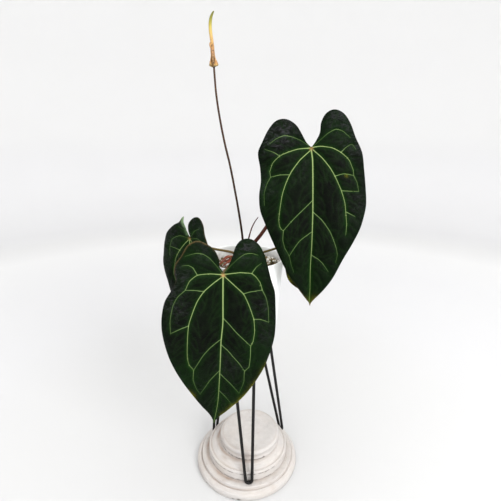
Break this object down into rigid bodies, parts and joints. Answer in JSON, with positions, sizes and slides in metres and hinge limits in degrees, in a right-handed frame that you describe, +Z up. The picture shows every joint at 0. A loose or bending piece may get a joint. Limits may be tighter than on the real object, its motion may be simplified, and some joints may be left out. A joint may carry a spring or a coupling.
{
  "type": "potted crystal sky anthurium",
  "caption": "Anthurium with dark velvet heart-shaped leaves, pale veins and a tall flower spike, in a white tapered pot on a black hairpin stand over a stepped, limewashed wooden plinth.",
  "frame": {"origin": "centre of the round underside of the plinth's lowest tier, which rests on the floor", "axes": "+Z up; the front of the plant faces -Y, so the leaves' upper faces look towards -Y; +X is the viewer's right"},
  "size_m": [0.331, 0.2372, 0.8471],
  "materials": {
    "plinth_lower": "limewashed turned wood, matt",
    "plinth_middle": "limewashed turned wood, matt",
    "plinth_upper": "limewashed turned wood, matt",
    "stand_ring": "satin black",
    "leg_front": "satin black",
    "leg_right": "satin black",
    "leg_left": "satin black",
    "pot": "white, softly glossy",
    "substrate": "bark chunks and perlite, matt",
    "crown": "scarred stem",
    "petiole_a": "smooth red-brown stalk",
    "petiole_b": "smooth dark red-brown stalk",
    "petiole_c": "smooth olive-brown stalk",
    "petiole_d": "smooth olive-brown stalk",
    "peduncle": "smooth dark flower stalk",
    "old_sheaths": "dry papery sheaths",
    "dried_sheath": "dry papery sheath",
    "spadix": "yellow to olive flower spike",
    "spathe": "withered tan spathe",
    "leaf_a": "dark velvet leaf with pale veins",
    "leaf_b": "dark velvet leaf with pale veins",
    "leaf_c": "dark velvet leaf with pale veins",
    "leaf_d": "dark velvet leaf with pale veins"
  },
  "bodies": {
    "root": {"plinth_lower": "plinth_lower", "plinth_middle": "plinth_middle", "plinth_upper": "plinth_upper", "stand_ring": "stand_ring", "leg_front": "leg_front", "leg_right": "leg_right", "leg_left": "leg_left", "pot": "pot", "substrate": "substrate", "crown": "crown", "petiole_a": "petiole_a", "petiole_b": "petiole_b", "petiole_c": "petiole_c", "petiole_d": "petiole_d", "peduncle": "peduncle", "old_sheaths": "old_sheaths", "dried_sheath": "dried_sheath", "spadix": "spadix", "spathe": "spathe", "leaf_a": "leaf_a", "leaf_b": "leaf_b", "leaf_c": "leaf_c", "leaf_d": "leaf_d"}
  },
  "joints": []
}
